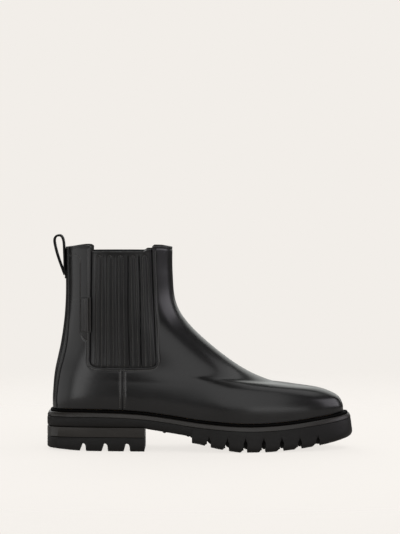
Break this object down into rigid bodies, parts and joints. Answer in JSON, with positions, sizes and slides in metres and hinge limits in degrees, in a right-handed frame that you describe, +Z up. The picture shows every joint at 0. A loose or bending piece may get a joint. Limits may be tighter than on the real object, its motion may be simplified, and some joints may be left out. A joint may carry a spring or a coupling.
{
  "type": "chelsea boot",
  "caption": "Ankle-high men's pull-on boot, right foot: smooth leather upper with pleated elastic side gussets, pull loop, welt and lugged rubber sole.",
  "frame": {"origin": "on the ground, under the middle of the sole's length and width", "axes": "+X towards the toe, +Y towards the inner (medial) side of the right foot, +Z up"},
  "size_m": [0.3052, 0.111, 0.214],
  "materials": {
    "calf_leather": "polished smooth black calf, semi-gloss",
    "gusset_leather": "soft black leather over elastic, satin",
    "gusset_elastic": "black woven elastic, matte",
    "lining_leather": "black lining leather, matte",
    "stiffener": "thermoplastic toe and heel stiffener, matte",
    "insole_board": "leatherboard, matte",
    "cork": "cork filler, matte",
    "steel": "plain steel",
    "welt": "black welt, satin",
    "sole_band": "black rubber, satin",
    "sole_rubber": "black rubber, matte"
  },
  "bodies": {
    "boot_body": {"vamp": "calf_leather", "quarter_lower_lateral": "calf_leather", "quarter_lower_medial": "calf_leather", "backstay_lower": "calf_leather", "gusset_cover_lateral": "gusset_leather", "gusset_cover_medial": "gusset_leather", "gusset_elastic_lateral": "gusset_elastic", "gusset_elastic_medial": "gusset_elastic", "vamp_lining": "lining_leather", "heel_lining": "lining_leather", "sock_liner": "lining_leather", "toe_puff": "stiffener", "heel_counter": "stiffener", "insole_board": "insole_board", "cork_filler": "cork", "shank": "steel", "heel_nail_1": "steel", "heel_nail_2": "steel", "heel_nail_3": "steel", "heel_nail_4": "steel", "heel_nail_5": "steel", "welt": "welt", "midsole": "sole_band", "heel_lift": "sole_band", "outsole": "sole_rubber", "heel_top_piece": "sole_rubber"},
    "shaft_back": {"quarter_upper_lateral": "calf_leather", "quarter_upper_medial": "calf_leather", "backstay_upper": "calf_leather", "shaft_lining": "lining_leather", "side_tab": "calf_leather", "pull_loop_root": "calf_leather"},
    "pull_loop": {"pull_loop": "calf_leather"}
  },
  "joints": [
    {"name": "shaft_open", "type": "hinge", "parent": "boot_body", "child": "shaft_back", "pos_m": [-0.1388, 0, 0.11], "axis": [0, -1, 0], "range_deg": [0, 12], "stiffness_Nm_per_rad": 11},
    {"name": "pull_loop_swing", "type": "hinge", "parent": "shaft_back", "child": "pull_loop", "pos_m": [-0.1349, 0, 0.1765], "axis": [0, -1, 0], "range_deg": [0, 30], "stiffness_Nm_per_rad": 0.03}
  ]
}
